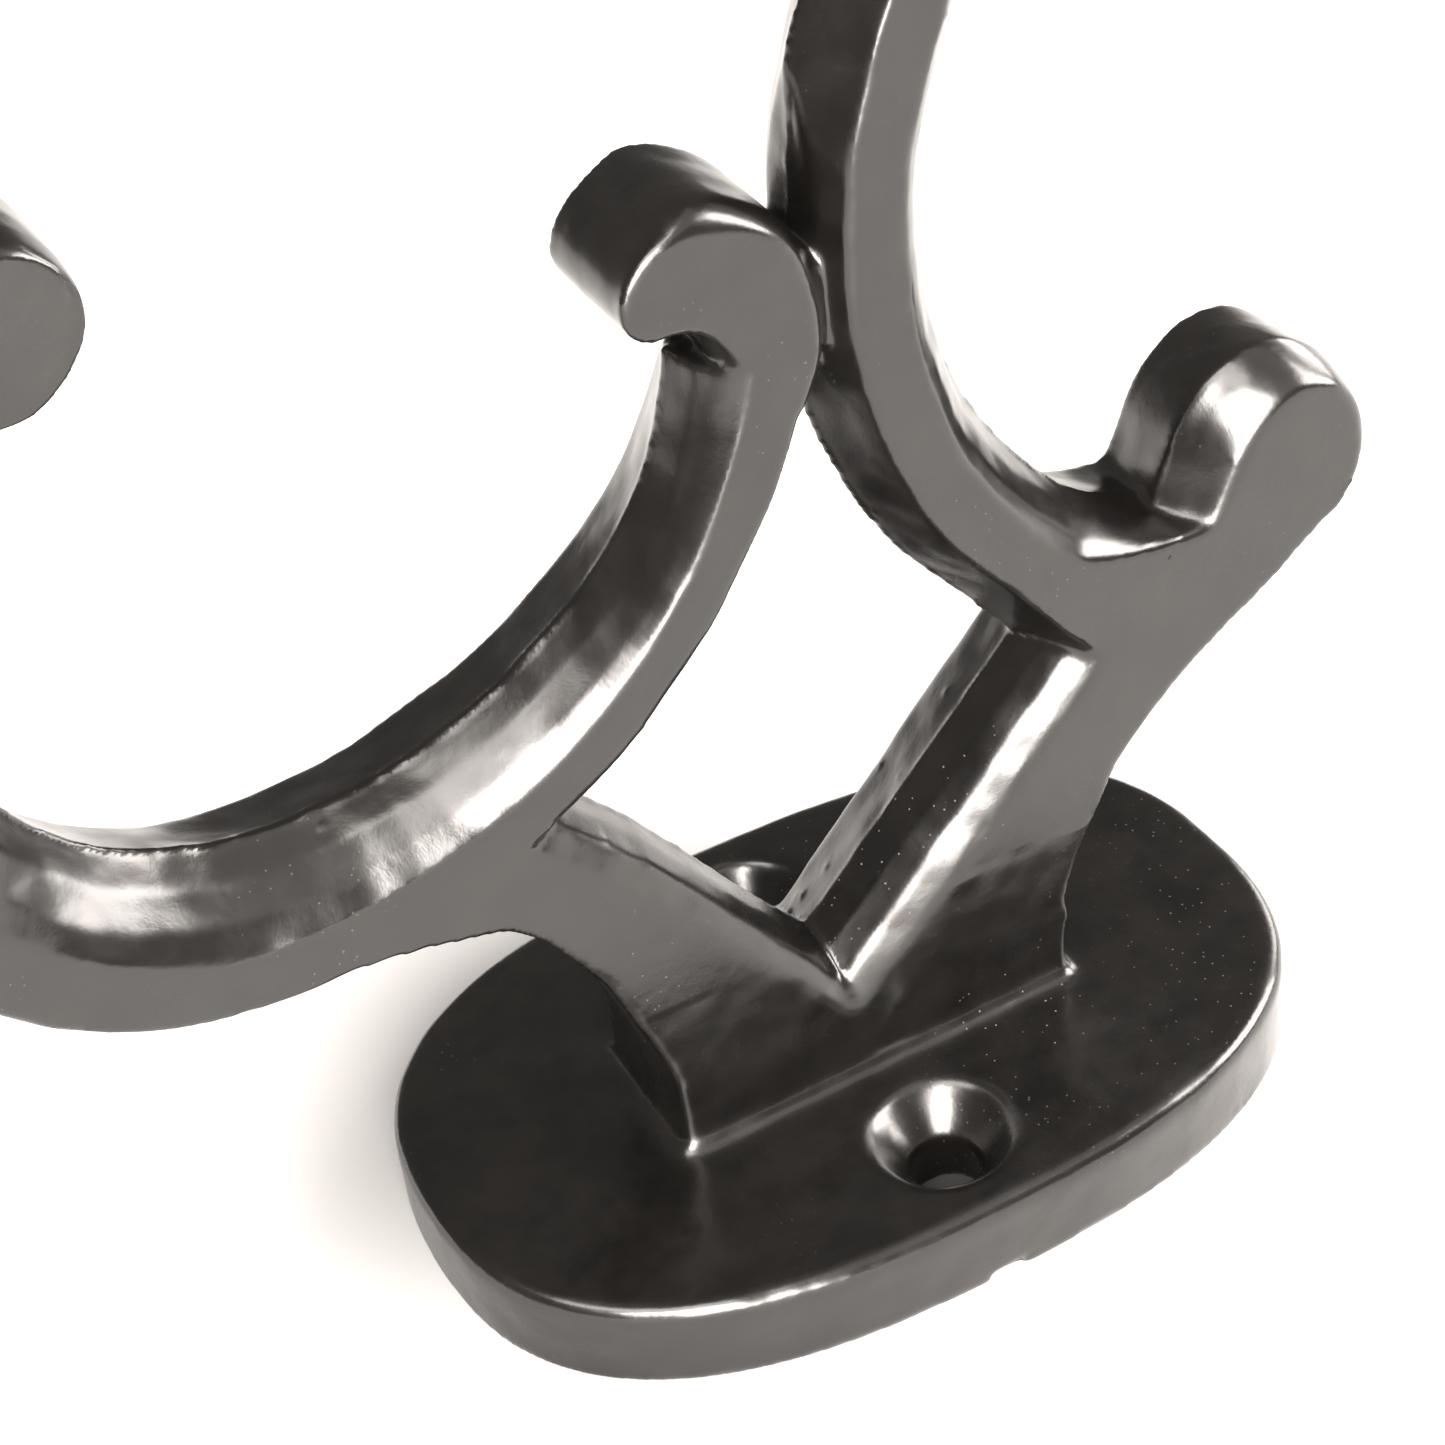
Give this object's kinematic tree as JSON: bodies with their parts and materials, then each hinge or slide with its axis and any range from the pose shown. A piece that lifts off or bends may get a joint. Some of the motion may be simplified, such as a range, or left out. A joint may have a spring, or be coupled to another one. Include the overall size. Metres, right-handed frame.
{
  "type": "scroll shutter holdback",
  "caption": "Cast iron shutter holdback: an oval wall plate with countersunk screw holes, a forked yoke and C-shaped scrolls that end in rounded knobs, powder coated black.",
  "frame": {"origin": "centre of the wall plate's flat wall face", "axes": "+Z out of the wall, away from the wall face; +X along the plate's length, towards the upper scroll; +Y along the line through the screw holes, across the casting's thickness"},
  "size_m": [0.0992, 0.041, 0.0968],
  "materials": {
    "coated_iron": "black semi-gloss powder coat over cast iron, slight orange peel and casting ripple"
  },
  "bodies": {
    "root": {"wall_plate": "coated_iron", "yoke": "coated_iron", "lower_scroll_bar": "coated_iron", "lower_scroll_inner_knob": "coated_iron", "lower_scroll_outer_knob": "coated_iron", "upper_scroll_bar": "coated_iron", "upper_scroll_inner_knob": "coated_iron", "upper_scroll_outer_knob": "coated_iron"}
  },
  "joints": []
}
